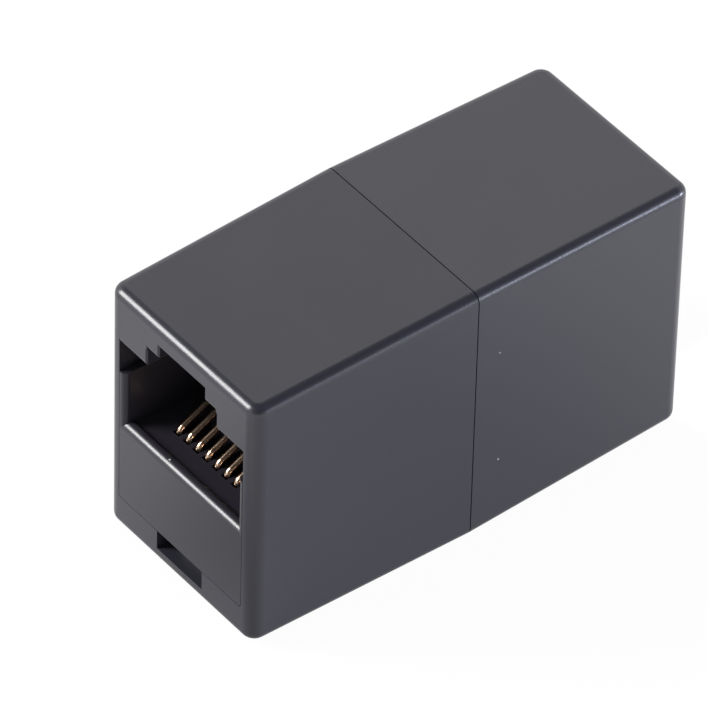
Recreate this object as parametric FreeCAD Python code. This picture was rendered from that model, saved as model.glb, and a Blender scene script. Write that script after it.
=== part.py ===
import FreeCAD, Part
import os
from math import cos, pi, radians, sin, tan
from FreeCAD import Vector

# Inline coupler for eight-way modular plugs, in millimetres.
# X runs across the body, Y along both sockets, Z up; the latch notches are on top.
# The origin is the middle of the base, on the seam between the two shell halves.
# Everything is drawn for the front socket (-Y); the rear one is the same turned half round.

# Shell halves: drafted boxes that meet at y = 0.
half_length = 18.0            # seam to end face
side_wall = 1.35              # wall beside the cavity, at the seam
floor_wall = 1.45             # wall under the cavity, at the seam
roof_wall = 1.56              # wall over the cavity, at the seam
end_wall = 1.1
side_draft = 0.25             # how far each side leans in by the end face
height_draft = 0.37           # how far top and bottom lean in by the end face
upright_radius = 1.0          # outer upright corners of the end face
rim_radius = 0.7              # long edges, and the top and bottom edges of the end face
seam_gap = 0.04               # outer skin of each half stops this short of the seam
seam_groove_depth = 0.3
cavity_radius = 0.5
rail_width = 1.4              # ceiling rails that guide the plug's shoulders
tongue_thickness = 0.6        # lap joint inside the seam
tongue_reach = 1.5
tongue_height = 12.0
tongue_lead = 0.2             # bevel that leads the tongue into its groove

# Opening in the end wall, from the snap slot at the bottom to the latch notch at the top.
slot_width = 4.8
sill_height = 1.57            # snap slot's floor to the sill under the insert's panel
mouth_height = 6.78           # lip of the insert to the shoulders
wide_notch_width = 7.3
wide_notch_rise = 1.54
narrow_notch_width = 4.8
narrow_notch_rise = 1.31
latch_headroom = 0.47         # cavity ceiling above the notch
lobe_radius = 0.35            # lower corners of the steps that hang down beside the notch
lead_in_radius = 0.6          # rounded front edge of the shoulders and the ledges
notch_bevel = 0.12            # broken front edge of the notch's walls and top

# Jack insert: the moulding that carries the contacts, flush with the end face.
insert_width = 13.0
panel_height = 6.78
front_wall = 1.0              # insert's wall behind the end wall
panel_corner_radius = 0.3     # lower corners of the panel and of its seat
lip_width = 0.85              # rounded ridge along the top of the panel
lip_rise = 0.3                # ridge above the deck behind it
lip_front_radius = 0.55
lip_back_radius = 0.25
cheek_thickness = 0.52
cheek_height = 4.7            # above the deck
cheek_front_radius = 0.45
deck_thickness = 2.2
skirt_thickness = 1.0         # insert's side walls under the deck
foot_thickness = 1.1          # insert's bottom plate
comb_wall_thickness = 1.2
comb_wall_depth = 12.4        # end face to the comb wall at the back of the socket

# Contacts: round wires on the standard eight-way pitch. They, their holes and their solder
# are drawn with a few flat sides, their corners on the true diameter, to keep them light.
contact_count = 8
contact_pitch = 1.016
wire_diameter = 0.46
wire_sides = 8
nose_depth = 2.65             # end face to the foremost point of the wire's centre line
bend_radius = 0.7
rise_angle = 27.0
run_depth = 0.94              # deck surface down to the straight run
tip_engagement = 0.5          # tip inside the comb wall
row_spacing = 2.54            # between the two rows of tails
drop_radius = 0.6
tail_reach = 0.7              # tail beyond the far face of the board

# Circuit board that joins the two sets of tails, and its solder joints.
board_thickness = 1.6
hole_diameter = 0.7
solder_radius = 0.48
solder_height = 0.45
solder_top_wall = 0.04        # solder round the wire at the top of its cone

# Clearances.
panel_gap = 0.04              # insert's panel in the end opening
cavity_gap = 0.1              # insert and board in the cavity
stack_gap = 0.05              # between the ends of the insert and what they bear on
groove_gap = 0.08             # tongue in its groove
slot_gap = 0.08               # wire in its comb slots
channel_gap = 0.02            # wire in the deck's channels

# How the solids are worked out.
overshoot = 1.0               # how far a cutting block runs past what it cuts
same = 1e-4                   # places closer than this count as one

# Levels, widths and stations that follow from the sizes above.
cavity_width = insert_width + 2 * cavity_gap
seam_width = cavity_width + 2 * side_wall
cavity_floor = floor_wall
sill_z = cavity_floor + sill_height
panel_bottom = sill_z + panel_gap
lip_top = panel_bottom + panel_height
deck_top = lip_top - lip_rise
shoulder_z = lip_top + mouth_height
ledge_z = shoulder_z + wide_notch_rise
notch_top = ledge_z + narrow_notch_rise
cavity_roof = notch_top + latch_headroom
seam_height = cavity_roof + roof_wall
rail_z = shoulder_z + cavity_gap
rail_face = cavity_width / 2 - rail_width
front_face = -half_length
end_wall_back = front_face + end_wall
insert_front = end_wall_back + stack_gap
insert_back = -(board_thickness / 2 + stack_gap)
insert_bottom = cavity_floor + cavity_gap
opening_half = insert_width / 2 + panel_gap
cheek_face = insert_width / 2 - cheek_thickness
comb_wall_front = front_face + comb_wall_depth
comb_top = rail_z - cavity_gap
deck_back = comb_wall_front + comb_wall_thickness
run_z = deck_top - run_depth
nose_y = front_face + nose_depth
tip_y = comb_wall_front + tip_engagement
wire_radius = wire_diameter / 2
comb_slot_width = wire_diameter + 2 * slot_gap


def contact_x(number):
    """Contact 1 is on the right of a socket seen from outside with its latch notch on top."""
    return ((contact_count + 1) / 2 - number) * contact_pitch


def tail_z(number):
    """Odd contacts keep to the upper row of holes and even ones drop to the lower row."""
    return run_z if number % 2 else run_z - row_spacing


def rounded_edges(points, radii, closed):
    """Straight edges through the points, joined at each corner by a tangent arc."""
    count = len(points)
    starts, ends, arcs = list(points), list(points), []
    for i in range(count):
        if radii[i] == 0 or (not closed and i in (0, count - 1)):
            continue
        corner = points[i]
        back = (points[i - 1] - corner).normalize()
        ahead = (points[(i + 1) % count] - corner).normalize()
        half_corner = back.getAngle(ahead) / 2
        reach = radii[i] / tan(half_corner)
        middle = (back + ahead).normalize() * (radii[i] / sin(half_corner) - radii[i])
        ends[i] = corner + back * reach
        starts[i] = corner + ahead * reach
        arcs.append((i, Part.Arc(ends[i], corner + middle, starts[i]).toShape()))
    corner_arc = dict(arcs)
    edges = []
    for i in range(count if closed else count - 1):
        following = (i + 1) % count
        edges.append(Part.makeLine(starts[i], ends[following]))
        if following in corner_arc:
            edges.append(corner_arc[following])
    return edges


def outline_prism(corners, y_from, y_to):
    """Prism along Y on a closed outline of (x, z, corner radius)."""
    points = [Vector(x, y_from, z) for x, z, _ in corners]
    wire = Part.Wire(rounded_edges(points, [r for _, _, r in corners], True))
    return Part.Face(wire).extrude(Vector(0, y_to - y_from, 0))


def mirrored(right_half):
    """Outline symmetric about X = 0, from the corners of its right half, bottom to top."""
    return right_half + [(-x, z, r) for x, z, r in reversed(right_half)]


def plan_prism(corners, z_from, z_to):
    """Prism along Z on a closed outline of (x, y, corner radius)."""
    points = [Vector(x, y, z_from) for x, y, _ in corners]
    wire = Part.Wire(rounded_edges(points, [r for _, _, r in corners], True))
    return Part.Face(wire).extrude(Vector(0, 0, z_to - z_from))


def block(x_from, x_to, y_from, y_to, z_from, z_to):
    corner = Vector(x_from, y_from, z_from)
    return Part.makeBox(x_to - x_from, y_to - y_from, z_to - z_from, corner)


def edges_where(shape, test):
    """Edges whose two ends and middle all pass the test."""
    chosen = []
    for edge in shape.Edges:
        first, last = edge.ParameterRange
        spots = [edge.valueAt(first + (last - first) * share) for share in (0, 0.5, 1)]
        if all(test(spot) for spot in spots):
            chosen.append(edge)
    return chosen


def close(a, b):
    return abs(a - b) < same


def turned_to_rear(shape):
    rear = shape.copy()
    rear.rotate(Vector(0, 0, 0), Vector(0, 0, 1), 180)
    return rear


def shell_block():
    """Drafted outer block of one half, with its edges rounded."""
    half_end = seam_width / 2 - side_draft
    body = Part.makeWedge(-half_end, front_face, height_draft, 0, -seam_width / 2,
                          half_end, 0, seam_height - height_draft, seam_height, seam_width / 2)
    uprights = edges_where(body, lambda p: close(p.y, front_face) and close(abs(p.x), half_end))
    body = body.makeFillet(upright_radius, uprights)
    rims = []
    for face in body.Faces:
        if abs(face.normalAt(0, 0).z) > 0.9:
            rims += [edge for edge in face.Edges if edge.BoundBox.YMin < -same]
    return body.makeFillet(rim_radius, rims)


def seam_groove():
    """Narrow groove round the outside of the seam, where the two halves' skins stop short."""
    half, corner = seam_width / 2 - seam_groove_depth, rim_radius - seam_groove_depth
    core = mirrored([(half, seam_groove_depth, corner),
                     (half, seam_height - seam_groove_depth, corner)])
    skin = block(-seam_width, seam_width, -seam_gap, overshoot, -overshoot, seam_height + overshoot)
    return skin.cut(outline_prism(core, -overshoot, overshoot))


def shell_cavity():
    """Room for the insert, stepped in at the top so that two rails are left on the ceiling."""
    half = cavity_width / 2
    section = mirrored([(half, cavity_floor, cavity_radius), (half, rail_z, 0),
                        (rail_face, rail_z, 0), (rail_face, cavity_roof, cavity_radius)])
    return outline_prism(section, end_wall_back, overshoot)


def end_opening():
    """Snap slot, seat of the insert's panel, shoulders and stepped latch notch in one outline."""
    section = mirrored([(slot_width / 2, cavity_floor, 0), (slot_width / 2, sill_z, 0),
                        (opening_half, sill_z, panel_corner_radius), (opening_half, shoulder_z, 0),
                        (wide_notch_width / 2, shoulder_z, lobe_radius),
                        (wide_notch_width / 2, ledge_z, 0),
                        (narrow_notch_width / 2, ledge_z, lobe_radius),
                        (narrow_notch_width / 2, notch_top, 0)])
    return outline_prism(section, front_face - overshoot, end_wall_back + overshoot)


def lead_in(reach, z):
    """Cutter, from -reach to reach across, that rounds the front edge of a face that looks down."""
    edge = Vector(-reach, front_face, z)
    rise, run = Vector(0, 0, lead_in_radius), Vector(0, lead_in_radius, 0)
    middle = edge + (rise + run) * (1 - sin(radians(45)))
    arc = Part.Arc(edge + rise, middle, edge + run).toShape()
    outline = Part.Wire([arc, Part.makeLine(edge + run, edge), Part.makeLine(edge, edge + rise)])
    return Part.Face(outline).extrude(Vector(2 * reach, 0, 0))


def lap_joint():
    """Tongue on the right wall and its groove in the left, so that two equal halves mate."""
    root = cavity_width / 2
    middle = (cavity_floor + rail_z) / 2
    low, high = middle - tongue_height / 2, middle + tongue_height / 2
    face = root + tongue_thickness
    tongue = block(root, face, -overshoot, tongue_reach, low, high)
    lead = edges_where(tongue, lambda p: close(p.y, tongue_reach) and close(p.x, face))
    tongue = tongue.makeChamfer(tongue_lead, lead)
    groove = block(-face - groove_gap, 0, -tongue_reach - groove_gap, overshoot,
                   low - groove_gap, high + groove_gap)
    return tongue, groove


def make_shell():
    tongue, groove = lap_joint()
    shell = shell_block().cut(shell_cavity()).cut(end_opening()).cut(seam_groove())
    shell = shell.cut(groove).fuse(tongue).removeSplitter()
    notch_rim = edges_where(shell, lambda p: close(p.y, front_face) and abs(p.x) < opening_half - same
                            and shoulder_z + same < p.z < notch_top + same)
    shell = shell.makeChamfer(notch_bevel, notch_rim)
    return shell.cut(lead_in(opening_half, shoulder_z)).cut(lead_in(wide_notch_width / 2, ledge_z))


def contact_path(number):
    """Centre line of a contact, from its tail in the board round the nose to its free tip."""
    turn = radians(180 - rise_angle)
    corner_y = nose_y + bend_radius - bend_radius * tan(turn / 2)
    slope = tan(radians(rise_angle))
    tip = (tip_y, run_z + (tip_y - corner_y) * slope)
    tail = board_thickness / 2 + tail_reach
    if tail_z(number) == run_z:
        points = [(tail, run_z), (corner_y, run_z), tip]
        radii = [0, bend_radius, 0]
    else:
        bay = insert_back - deck_back
        points = [(tail, tail_z(number)), (insert_back - bay / 4, tail_z(number)),
                  (deck_back + bay / 4, run_z), (corner_y, run_z), tip]
        radii = [0, drop_radius, drop_radius, bend_radius, 0]
    spots = [Vector(contact_x(number), y, z) for y, z in points]
    return Part.Wire(rounded_edges(spots, radii, False))


def sided_ring(radius, y):
    """Closed outline round the Y axis with the wire's number of sides, corners on the radius."""
    turns = [2 * pi * (i + 0.5) / wire_sides for i in range(wire_sides)]
    corners = [Vector(radius * cos(turn), y, radius * sin(turn)) for turn in turns]
    return Part.makePolygon(corners + corners[:1])


def sided_rod(radius, reach):
    """Rod along the Y axis from -reach to reach, with the wire's number of sides."""
    return Part.Face(sided_ring(radius, -reach)).extrude(Vector(0, 2 * reach, 0))


def make_contact(number):
    """Wire bent to its path, from the tail in the board to the free tip."""
    section = sided_ring(wire_radius, board_thickness / 2 + tail_reach)
    section.translate(Vector(contact_x(number), 0, tail_z(number)))
    return contact_path(number).makePipeShell([section], True, False)


def comb_slots():
    """Slots in the deck where the wires turn, channels on to its back, and slots for their tips."""
    cuts = []
    half = comb_slot_width / 2
    channel = wire_radius + channel_gap
    slot_floor = run_z - wire_radius - slot_gap
    slot_front = nose_y - wire_radius - slot_gap
    slot_back = nose_y + 3 * bend_radius
    for number in range(1, contact_count + 1):
        x = contact_x(number)
        cuts.append(block(x - half, x + half, slot_front, slot_back, slot_floor, lip_top))
        cuts.append(block(x - half, x + half, comb_wall_front - overshoot,
                          tip_y + wire_radius + slot_gap, deck_top, rail_z))
        cuts.append(block(x - channel, x + channel, slot_back - overshoot, deck_back + overshoot,
                          run_z - channel, run_z + channel))
    return cuts


def make_cheek():
    """Thin side wall above the deck, with its inner front edge well rounded."""
    half = insert_width / 2
    return plan_prism([(cheek_face, front_face, cheek_front_radius), (half, front_face, 0),
                       (half, insert_back, 0), (cheek_face, insert_back, 0)],
                      lip_top - lip_front_radius, deck_top + cheek_height)


def make_insert():
    """Panel, deck, cheeks, skirts and foot of the contact carrier, with its comb wall."""
    half = insert_width / 2
    inner = half - skirt_thickness
    pocket_floor = insert_bottom + foot_thickness
    body = outline_prism(mirrored([(half, insert_bottom, cavity_radius), (half, deck_top, 0)]),
                         insert_front, insert_back)
    panel = outline_prism(mirrored([(half, panel_bottom, panel_corner_radius), (half, lip_top, 0)]),
                          front_face, insert_front + front_wall)
    above_deck = block(-half, half, front_face + lip_width, 0, deck_top, lip_top + overshoot)
    under_deck = block(-inner, inner, insert_front + front_wall, 0,
                       pocket_floor, deck_top - deck_thickness)
    behind_deck = block(-inner, inner, deck_back, 0, pocket_floor, deck_top + overshoot)
    comb_wall = block(-cheek_face, cheek_face, comb_wall_front, deck_back,
                      deck_top - deck_thickness, comb_top)
    body = body.fuse(panel).cut(above_deck).cut(under_deck).cut(behind_deck)
    for radius, y in ((lip_front_radius, front_face), (lip_back_radius, front_face + lip_width)):
        body = body.makeFillet(radius, edges_where(body, lambda p: close(p.z, lip_top) and close(p.y, y)))
    cheek = make_cheek()
    other_cheek = cheek.mirror(Vector(0, 0, 0), Vector(1, 0, 0))
    body = body.fuse([cheek, other_cheek, comb_wall]).removeSplitter()
    for cut in comb_slots():
        body = body.cut(cut)
    return body.Solids[0]


def make_board():
    """Board that closes the cavity from wall to wall and between the rails, with its holes."""
    half, tab = cavity_width / 2 - cavity_gap, rail_face - cavity_gap
    section = mirrored([(half, insert_bottom, cavity_radius), (half, comb_top, 0),
                        (tab, comb_top, 0), (tab, cavity_roof - cavity_gap, cavity_radius)])
    board = outline_prism(section, -board_thickness / 2, board_thickness / 2)
    hole = sided_rod(hole_diameter / 2, board_thickness)
    return board.cut([hole.translated(Vector(x, 0, z)) for x, z in hole_places()])


def hole_places():
    """Holes of the front contacts and, half round, those of the rear ones."""
    front = [(contact_x(number), tail_z(number)) for number in range(1, contact_count + 1)]
    return front + [(-x, z) for x, z in front]


def make_solder_joint():
    """Solder that fills one hole round its wire and rises in a cone on both faces."""
    face, rise = board_thickness / 2, board_thickness / 2 + solder_height
    joint = sided_rod(hole_diameter / 2, face)
    for side in (-1, 1):
        rings = [sided_ring(solder_radius, side * face),
                 sided_ring(wire_radius + solder_top_wall, side * rise)]
        joint = joint.fuse(Part.makeLoft(rings, True, True))
    return joint.cut(sided_rod(wire_radius, 2 * rise))


def make_solder_joints():
    joint = make_solder_joint()
    return Part.makeCompound([joint.translated(Vector(x, 0, z)) for x, z in hole_places()])


def make_pieces():
    shell, insert = make_shell(), make_insert()
    pieces = {"front_shell": shell, "rear_shell": turned_to_rear(shell),
              "front_insert": insert, "rear_insert": turned_to_rear(insert),
              "circuit_board": make_board(), "solder_joints": make_solder_joints()}
    for number in range(1, contact_count + 1):
        contact = make_contact(number)
        pieces["front_contact_%d" % number] = contact
        pieces["rear_contact_%d" % number] = turned_to_rear(contact)
    return pieces


os.makedirs("parts", exist_ok=True)
for node, shape in make_pieces().items():
    shape.exportStep("parts/%s.step" % node)
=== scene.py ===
from math import cos, pi, radians, sin

import bmesh
import bpy
from mathutils import Matrix, Vector


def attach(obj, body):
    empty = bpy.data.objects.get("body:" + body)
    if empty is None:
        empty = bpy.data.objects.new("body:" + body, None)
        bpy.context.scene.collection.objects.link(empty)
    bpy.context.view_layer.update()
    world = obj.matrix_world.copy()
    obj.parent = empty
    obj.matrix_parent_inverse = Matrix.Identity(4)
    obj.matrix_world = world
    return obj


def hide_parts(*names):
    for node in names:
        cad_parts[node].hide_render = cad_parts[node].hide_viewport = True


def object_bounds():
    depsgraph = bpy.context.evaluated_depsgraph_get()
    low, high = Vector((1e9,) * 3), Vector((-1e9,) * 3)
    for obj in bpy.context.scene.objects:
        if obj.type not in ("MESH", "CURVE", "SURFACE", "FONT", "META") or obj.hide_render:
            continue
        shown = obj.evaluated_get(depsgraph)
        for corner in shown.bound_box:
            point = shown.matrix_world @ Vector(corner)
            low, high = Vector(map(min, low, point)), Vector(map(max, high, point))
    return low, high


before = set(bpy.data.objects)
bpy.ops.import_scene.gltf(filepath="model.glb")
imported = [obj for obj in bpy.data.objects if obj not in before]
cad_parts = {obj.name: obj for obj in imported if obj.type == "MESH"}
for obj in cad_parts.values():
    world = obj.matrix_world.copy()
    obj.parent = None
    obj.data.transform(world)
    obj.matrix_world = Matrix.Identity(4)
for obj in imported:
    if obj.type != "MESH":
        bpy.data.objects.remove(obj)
cad_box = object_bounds()

MM = 0.001
WHITE = "#FFFFFF"


# ---------------------------------------------------------------- colours and nodes

def srgb(code):
    """Linear colour of an sRGB hex code."""
    parts = [int(code[i:i + 2], 16) / 255 for i in (1, 3, 5)]
    linear = [p / 12.92 if p <= 0.04045 else ((p + 0.055) / 1.055) ** 2.4 for p in parts]
    return (*linear, 1.0)


def add(tree, kind, inputs=None, **settings):
    """Adds a node with its settings; an input is a constant or the socket that feeds it."""
    node = tree.nodes.new(kind)
    for name, value in settings.items():
        setattr(node, name, value)
    for socket, value in (inputs or {}).items():
        if isinstance(value, bpy.types.NodeSocket):
            tree.links.new(value, node.inputs[socket])
        else:
            node.inputs[socket].default_value = value
    return node


def new_material(name):
    """Empty material with its output node, ready for a surface."""
    material = bpy.data.materials.new(name)
    material.use_nodes = True
    material.node_tree.nodes.clear()
    output = add(material.node_tree, "ShaderNodeOutputMaterial")
    return material, material.node_tree, output


def per_mm(size):
    """Texture scale for a pattern whose cells measure size millimetres."""
    return 1.0 / (size * MM)


# ---------------------------------------------------------------- materials

def moulded_plastic(name, colour, roughness, grain, grain_height):
    """Black plastic from a spark-eroded mould: satin, with an even grain that softens
    reflections, slightly uneven gloss where the melt cooled, and a few specks of lint.
    The grain is drawn coarser than the real one, which is too fine to show."""
    gloss_change, flow_size = 0.02, 6.0
    lint_spacing, lint_rarity, lint_radius = 1.6, 0.94, 0.045

    material, tree, output = new_material(name)
    place = add(tree, "ShaderNodeTexCoord").outputs["Object"]
    flow = add(tree, "ShaderNodeTexNoise", {"Vector": place, "Scale": per_mm(flow_size), "Detail": 2.0})
    gloss = add(tree, "ShaderNodeMapRange", {
        "Value": flow.outputs["Fac"], "From Min": 0.3, "From Max": 0.7,
        "To Min": roughness - gloss_change, "To Max": roughness + gloss_change})

    cell = add(tree, "ShaderNodeTexVoronoi", {"Vector": place, "Scale": per_mm(lint_spacing)})
    chance = add(tree, "ShaderNodeSeparateColor", {"Color": cell.outputs["Color"]}).outputs["Red"]
    rare = add(tree, "ShaderNodeMath", {0: chance, 1: lint_rarity}, operation="GREATER_THAN")
    small = add(tree, "ShaderNodeMath", {0: cell.outputs["Distance"], 1: lint_radius}, operation="LESS_THAN")
    speck = add(tree, "ShaderNodeMath", {0: rare.outputs[0], 1: small.outputs[0]}, operation="MULTIPLY")
    tint = add(tree, "ShaderNodeMix", {
        "Factor": speck.outputs[0], "A": srgb(colour), "B": srgb("#B4B4B2")}, data_type="RGBA")

    texture = add(tree, "ShaderNodeTexNoise", {
        "Vector": place, "Scale": per_mm(grain), "Detail": 3.0, "Roughness": 0.6})
    bump = add(tree, "ShaderNodeBump", {
        "Height": texture.outputs["Fac"], "Strength": 1.0, "Distance": grain_height * MM})
    shader = add(tree, "ShaderNodeBsdfPrincipled", {
        "Base Color": tint.outputs["Result"], "Roughness": gloss.outputs["Result"],
        "Normal": bump.outputs["Normal"], "IOR": 1.5})
    tree.links.new(shader.outputs["BSDF"], output.inputs["Surface"])
    return material


def gold_plated_bronze():
    """Drawn phosphor bronze wire under thin gold: pale and warm, bright, with faint draw
    lines along the wire that spread its highlights a little."""
    line_width, line_height = 0.04, 0.00015

    material, tree, output = new_material("gold-plated phosphor bronze")
    place = add(tree, "ShaderNodeTexCoord").outputs["Object"]
    drawn_out = add(tree, "ShaderNodeMapping", {"Vector": place, "Scale": (1.0, 0.06, 0.3)})
    lines = add(tree, "ShaderNodeTexNoise", {
        "Vector": drawn_out.outputs["Vector"], "Scale": per_mm(line_width), "Detail": 2.0})
    polish = add(tree, "ShaderNodeMapRange", {
        "Value": lines.outputs["Fac"], "From Min": 0.3, "From Max": 0.7, "To Min": 0.14, "To Max": 0.2})
    bump = add(tree, "ShaderNodeBump", {
        "Height": lines.outputs["Fac"], "Strength": 1.0, "Distance": line_height * MM})
    shader = add(tree, "ShaderNodeBsdfPrincipled", {
        "Base Color": srgb("#E3C4A8"), "Metallic": 1.0, "Roughness": polish.outputs["Result"],
        "Normal": bump.outputs["Normal"]})
    tree.links.new(shader.outputs["BSDF"], output.inputs["Surface"])
    return material


def solder_masked_fr4():
    """Glass-epoxy board under glossy green solder mask, with paler, slightly raised tracks."""
    track_pitch, track_height = 3.2, 0.01

    material, tree, output = new_material("FR4 laminate with solder mask")
    place = add(tree, "ShaderNodeTexCoord").outputs["Object"]
    weave = add(tree, "ShaderNodeTexWave", {
        "Vector": place, "Scale": per_mm(track_pitch), "Distortion": 0.6}, bands_direction="X")
    track = add(tree, "ShaderNodeMath", {0: weave.outputs["Fac"], 1: 0.62}, operation="GREATER_THAN")
    tint = add(tree, "ShaderNodeMix", {
        "Factor": track.outputs[0], "A": srgb("#14532E"), "B": srgb("#1F7040")}, data_type="RGBA")
    bump = add(tree, "ShaderNodeBump", {
        "Height": weave.outputs["Fac"], "Strength": 1.0, "Distance": track_height * MM})
    shader = add(tree, "ShaderNodeBsdfPrincipled", {
        "Base Color": tint.outputs["Result"], "Roughness": 0.3,
        "Normal": bump.outputs["Normal"], "IOR": 1.55})
    tree.links.new(shader.outputs["BSDF"], output.inputs["Surface"])
    return material


def bright_solder():
    """Tin solder as it froze: silvery, slightly crazed."""
    crystal, crystal_height = 0.12, 0.004

    material, tree, output = new_material("tin solder")
    place = add(tree, "ShaderNodeTexCoord").outputs["Object"]
    frost = add(tree, "ShaderNodeTexNoise", {"Vector": place, "Scale": per_mm(crystal), "Detail": 3.0})
    polish = add(tree, "ShaderNodeMapRange", {"Value": frost.outputs["Fac"], "To Min": 0.2, "To Max": 0.45})
    bump = add(tree, "ShaderNodeBump", {
        "Height": frost.outputs["Fac"], "Strength": 1.0, "Distance": crystal_height * MM})
    shader = add(tree, "ShaderNodeBsdfPrincipled", {
        "Base Color": srgb("#D2D4D6"), "Metallic": 1.0, "Roughness": polish.outputs["Result"],
        "Normal": bump.outputs["Normal"]})
    tree.links.new(shader.outputs["BSDF"], output.inputs["Surface"])
    return material


def dress_nodes(wire):
    """Gives each CAD node the material of what it is made of."""
    shell = moulded_plastic("spark-eroded ABS", "#2B2B33", roughness=0.30, grain=0.18, grain_height=0.006)
    insert = moulded_plastic("satin PBT", "#29272E", roughness=0.30, grain=0.14, grain_height=0.005)
    board, solder = solder_masked_fr4(), bright_solder()
    for name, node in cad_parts.items():
        if "shell" in name:
            material = shell
        elif "insert" in name:
            material = insert
        elif "contact" in name:
            material = wire
        else:
            material = board if name == "circuit_board" else solder
        node.data.materials.clear()
        node.data.materials.append(material)


# ---------------------------------------------------------------- contacts

def round_wire(name, node, wire):
    """Copy of a contact, merged and shaded round, since the solid has flat sides."""
    mesh = bmesh.new()
    mesh.from_mesh(node.data)
    mesh.transform(node.matrix_world)
    bmesh.ops.remove_doubles(mesh, verts=mesh.verts, dist=0.002 * MM)
    for face in mesh.faces:
        face.smooth = True
    for edge in mesh.edges:
        edge.smooth = len(edge.link_faces) == 2 and edge.calc_face_angle() < radians(60)
    data = bpy.data.meshes.new(name + "_wire")
    mesh.to_mesh(data)
    mesh.free()
    data.materials.append(wire)
    piece = bpy.data.objects.new(name + "_wire", data)
    bpy.context.scene.collection.objects.link(piece)
    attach(piece, "root")
    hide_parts(name)


# ---------------------------------------------------------------- floor and room

def mirror_rays(tree, path):
    """1 for rays that come off a glossy or through a clear surface, else 0."""
    either = add(tree, "ShaderNodeMath", {0: path.outputs["Is Glossy Ray"],
                                          1: path.outputs["Is Transmission Ray"]}, operation="MAXIMUM")
    return either.outputs[0]


def shade(tree, place, centre, inner, outer, low, high):
    """Level that rises from low to high between two distances in mm from a point."""
    reach = add(tree, "ShaderNodeVectorMath", {0: place, 1: Vector(centre) * MM}, operation="DISTANCE")
    level = add(tree, "ShaderNodeMapRange", {
        "Value": reach.outputs["Value"], "From Min": inner * MM, "From Max": outer * MM,
        "To Min": low, "To Max": high}, interpolation_type="SMOOTHSTEP")
    return level.outputs["Result"]


def painted_floor_reflection(tree):
    """Painted shade and light on the floor, seen only where the coupler mirrors it: painted shade close to
    its front and right side, and painted light, brighter than white, further out."""
    place = add(tree, "ShaderNodeTexCoord").outputs["Object"]
    # painted shade in reflections: the floor dims close in front of the coupler
    before = shade(tree, place, centre=(1.0, -28.0, 0.0), inner=2.0, outer=16.0, low=0.25, high=1.0)
    # painted shade near the right side and painted light further out, in reflections only
    painted_shade_and_light_beside = shade(tree, place, centre=(16.0, -8.0, 0.0), inner=12.0, outer=42.0, low=0.68, high=1.32)
    across = add(tree, "ShaderNodeSeparateXYZ", {0: place}).outputs["X"]
    right = add(tree, "ShaderNodeMapRange", {"Value": across, "From Min": 0.0, "From Max": 8 * MM},
                interpolation_type="SMOOTHSTEP")
    sides = add(tree, "ShaderNodeMix", {"Factor": right.outputs["Result"], "A": 0.95, "B": painted_shade_and_light_beside},
                data_type="FLOAT")
    both = add(tree, "ShaderNodeMath", {0: before, 1: sides.outputs["Result"]}, operation="MULTIPLY")
    return both.outputs[0]


def pale_floor():
    """Pale floor that reads as white where it shows, and keeps the coupler's soft shadow."""
    floor_size, white_to_eye, white_in_mirrors = 4.0, 0.96, 0.85
    bpy.ops.mesh.primitive_plane_add(size=floor_size, location=(0, 0, cad_box[0].z))
    floor = bpy.context.object
    floor.name = "floor"
    material, tree, output = new_material("pale floor")
    path = add(tree, "ShaderNodeLightPath")
    eye = add(tree, "ShaderNodeMath", {0: path.outputs["Is Camera Ray"], 1: white_to_eye},
              operation="MULTIPLY")
    mirrors = add(tree, "ShaderNodeMath", {0: mirror_rays(tree, path), 1: white_in_mirrors},
                  operation="MULTIPLY")
    share = add(tree, "ShaderNodeMath", {0: eye.outputs[0], 1: mirrors.outputs[0]}, operation="MAXIMUM")
    # painted shade and light on the floor, used only for rays that come off a glossy or through a clear
    # surface
    level = add(tree, "ShaderNodeMath", {0: painted_floor_reflection(tree), 1: path.outputs["Is Camera Ray"]},
                operation="MAXIMUM")
    paper = add(tree, "ShaderNodeBsdfDiffuse", {"Color": srgb("#F3F3F3")})
    white = add(tree, "ShaderNodeEmission", {"Color": srgb(WHITE), "Strength": level.outputs[0]})
    mix = add(tree, "ShaderNodeMixShader", {0: share.outputs[0], 1: paper.outputs[0], 2: white.outputs[0]})
    tree.links.new(mix.outputs[0], output.inputs["Surface"])
    floor.data.materials.append(material)


def studio_world():
    """White to the eye, and in reflections but for the dark end of the room; softer as a light."""
    dark_end, dark_core, dark_edge = (0.565, -0.462, 0.684), radians(30), radians(50)
    dark_level, light_level = 0.12, 0.50
    world = bpy.data.worlds.new("studio")
    bpy.context.scene.world = world
    world.use_nodes = True
    tree = world.node_tree
    tree.nodes.clear()
    path = add(tree, "ShaderNodeLightPath")
    towards = add(tree, "ShaderNodeTexCoord").outputs["Generated"]
    facing = add(tree, "ShaderNodeVectorMath", {0: towards, 1: dark_end}, operation="DOT_PRODUCT")
    gloss = add(tree, "ShaderNodeMapRange", {
        "Value": facing.outputs["Value"], "From Min": cos(dark_edge), "From Max": cos(dark_core),
        "To Min": 1.0, "To Max": dark_level}, interpolation_type="SMOOTHSTEP")
    level = add(tree, "ShaderNodeMix", {
        "Factor": path.outputs["Is Glossy Ray"], "A": light_level, "B": gloss.outputs["Result"]},
        data_type="FLOAT")
    clear = add(tree, "ShaderNodeMath", {0: path.outputs["Is Camera Ray"],
                                         1: path.outputs["Is Transmission Ray"]}, operation="MAXIMUM")
    strength = add(tree, "ShaderNodeMix", {
        "Factor": clear.outputs[0], "A": level.outputs["Result"], "B": 1.0}, data_type="FLOAT")
    light = add(tree, "ShaderNodeBackground", {
        "Color": srgb(WHITE), "Strength": strength.outputs["Result"]})
    output = add(tree, "ShaderNodeOutputWorld")
    tree.links.new(light.outputs[0], output.inputs["Surface"])


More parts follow.
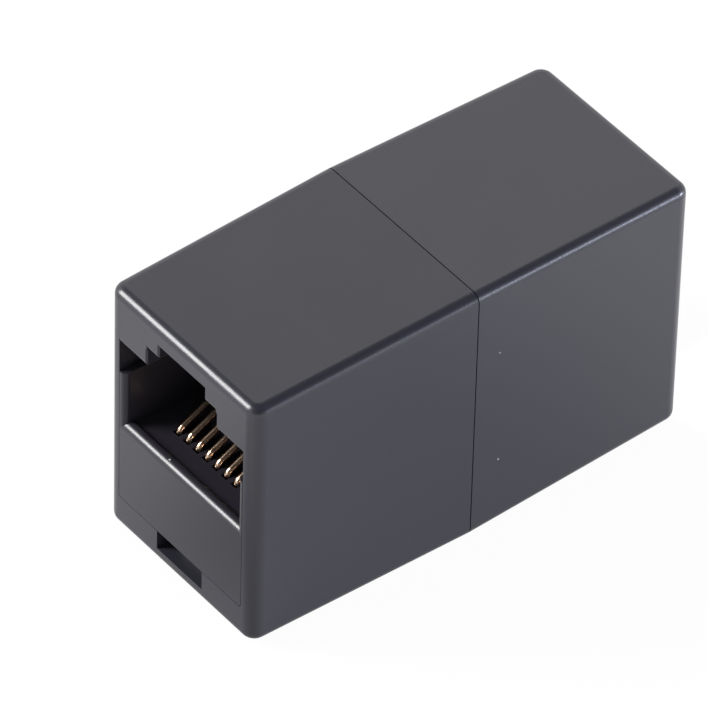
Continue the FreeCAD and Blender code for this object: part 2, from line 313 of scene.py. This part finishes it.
def dark_ceiling():
    """Black cloth over the set, which keeps the rounded edges dark beside their highlights."""
    height = 0.3
    corners = [(-0.83, -0.68), (2.9, -0.68), (2.9, 1.9), (-0.25, 0.75), (-0.83, 0.18)]
    mesh = bmesh.new()
    mesh.faces.new([mesh.verts.new((x * height, y * height, height)) for x, y in corners])
    data = bpy.data.meshes.new("ceiling")
    mesh.to_mesh(data)
    mesh.free()
    cloth = bpy.data.objects.new("ceiling", data)
    bpy.context.scene.collection.objects.link(cloth)
    material, tree, output = new_material("black cloth")
    weave = add(tree, "ShaderNodeBsdfDiffuse", {"Color": srgb("#303030")})
    tree.links.new(weave.outputs[0], output.inputs["Surface"])
    cloth.data.materials.append(material)
    cloth.visible_camera = False
    cloth.visible_diffuse = False
    cloth.visible_shadow = False


# ---------------------------------------------------------------- lamps and camera

def softbox(name, towards, width, height, radiance, colour):
    """Rectangular lamp that hangs in a direction from the coupler and faces it."""
    distance = 0.6
    lamp = bpy.data.lights.new(name, "AREA")
    lamp.shape = "RECTANGLE"
    lamp.size, lamp.size_y = width, height
    lamp.energy = radiance * pi * width * height
    lamp.color = srgb(colour)[:3]
    holder = bpy.data.objects.new(name, lamp)
    bpy.context.scene.collection.objects.link(holder)
    middle = (cad_box[0] + cad_box[1]) / 2
    away = Vector(towards).normalized()
    holder.location = middle + away * distance
    holder.rotation_euler = away.to_track_quat("Z", "Y").to_euler()


def lamps():
    """Key from the front left, a cool low one from the rear right, and a faint pale wall."""
    softbox("key", (-0.565, -0.67, 0.48), width=0.20, height=0.30, radiance=25.0, colour=WHITE)
    softbox("rear", (0.68, 0.73, 0.09), width=0.24, height=0.11, radiance=46.0, colour="#E2E8FF")
    softbox("wall", (-0.565, 0.56, 0.62), width=0.50, height=0.50, radiance=0.5, colour=WHITE)


def camera():
    """Long lens from the front right and above, a little off level."""
    azimuth, elevation, roll = radians(50.721), radians(43.143), radians(1.615)
    target, distance = Vector((-4.669, 0.0, 7.056)) * MM, 610.08 * MM
    back = Vector((sin(azimuth) * cos(elevation), -cos(azimuth) * cos(elevation), sin(elevation)))
    right = Vector((cos(azimuth), sin(azimuth), 0.0))
    up = back.cross(right)
    tilted_right = right * cos(roll) + up * sin(roll)
    tilted_up = up * cos(roll) - right * sin(roll)
    data = bpy.data.cameras.new("camera")
    data.lens = 470.6
    data.sensor_width = 36.0
    data.clip_start = 0.05
    holder = bpy.data.objects.new("camera", data)
    bpy.context.scene.collection.objects.link(holder)
    turn = Matrix((tilted_right, tilted_up, back)).transposed().to_4x4()
    holder.matrix_world = Matrix.Translation(target + back * distance) @ turn
    bpy.context.scene.camera = holder


wire = gold_plated_bronze()
dress_nodes(wire)
for name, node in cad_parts.items():
    if "contact" in name:
        round_wire(name, node, wire)
pale_floor()
studio_world()
dark_ceiling()
lamps()
camera()
bpy.context.scene.view_settings.view_transform = "Standard"
